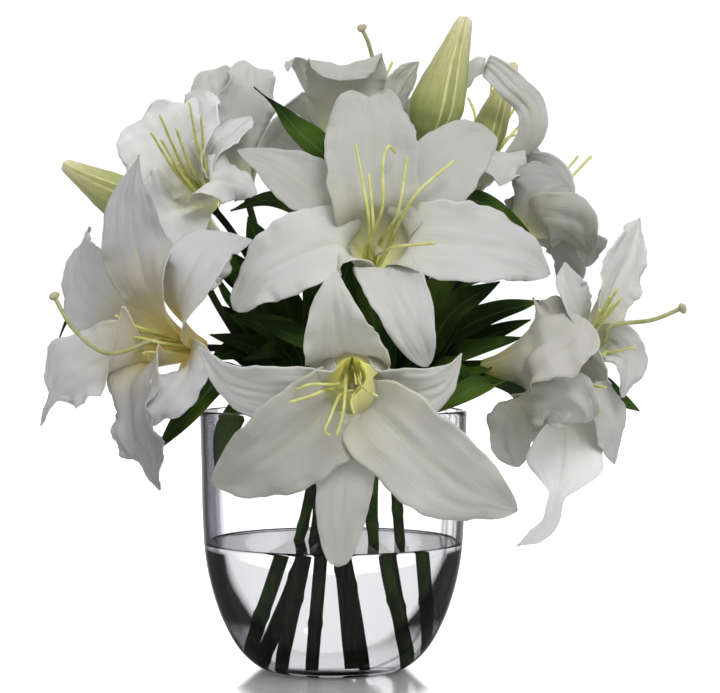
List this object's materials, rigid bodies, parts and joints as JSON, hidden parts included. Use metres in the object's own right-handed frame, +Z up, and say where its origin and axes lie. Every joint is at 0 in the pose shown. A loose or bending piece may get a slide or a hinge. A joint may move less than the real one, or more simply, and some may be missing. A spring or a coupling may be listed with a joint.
{
  "type": "lilies in a vase",
  "caption": "White lilies with buds and dark leaves, arranged as a round bouquet in a clear round-bottomed glass vase with water.",
  "frame": {"origin": "centre of the vase's flat underside", "axes": "+Z up along the vase's axis, -Y towards the side that the picture shows, +X to that side's right"},
  "size_m": [0.4261, 0.2966, 0.4437],
  "materials": {
    "glass": "clear polished glass",
    "water": "clear still water",
    "stem": "dark green cut stem",
    "petal": "soft white petal, yellow-green toward the throat",
    "leaf": "satin dark green leaf",
    "bud": "ribbed, olive at the foot and cream at the tip",
    "pistil": "pale green"
  },
  "bodies": {
    "root": {"vase": "glass", "water": "water", "stem_1": "stem", "stem_2": "stem", "stem_3": "stem", "stem_4": "stem", "stem_5": "stem", "stem_6": "stem", "stem_7": "stem", "stem_8": "stem", "stem_9": "stem", "pistil_left": "pistil", "pistil_right": "pistil", "pistil_top": "pistil", "upper_front_tepal_1": "petal", "upper_front_tepal_2": "petal", "upper_front_tepal_3": "petal", "upper_front_tepal_4": "petal", "upper_front_tepal_5": "petal", "upper_front_tepal_6": "petal", "lower_front_tepal_1": "petal", "lower_front_tepal_2": "petal", "lower_front_tepal_3": "petal", "lower_front_tepal_4": "petal", "lower_front_tepal_5": "petal", "lower_front_tepal_6": "petal", "left_tepal_1": "petal", "left_tepal_2": "petal", "left_tepal_3": "petal", "left_tepal_4": "petal", "left_tepal_5": "petal", "left_tepal_6": "petal", "lower_right_tepal_1": "petal", "lower_right_tepal_2": "petal", "lower_right_tepal_3": "petal", "lower_right_tepal_4": "petal", "lower_right_tepal_5": "petal", "lower_right_tepal_6": "petal", "right_lily": "petal", "upper_left_lily": "petal", "back_left_lily": "petal", "top_back_lily": "petal", "back_right_lily": "petal", "right_back_lily": "petal", "bud_top": "bud", "bud_right": "bud", "bud_left": "bud", "leaf_under_left": "leaf", "leaf_top_left": "leaf", "leaf_upper_left": "leaf", "leaf_upper_right": "leaf", "leaf_far_left": "leaf", "leaf_far_right": "leaf", "leaf_centre_left": "leaf", "leaf_centre_back": "leaf", "leaf_centre": "leaf", "leaf_right_high": "leaf", "leaf_right_middle": "leaf", "leaf_right_low": "leaf", "leaf_rim_right": "leaf"}
  },
  "joints": []
}
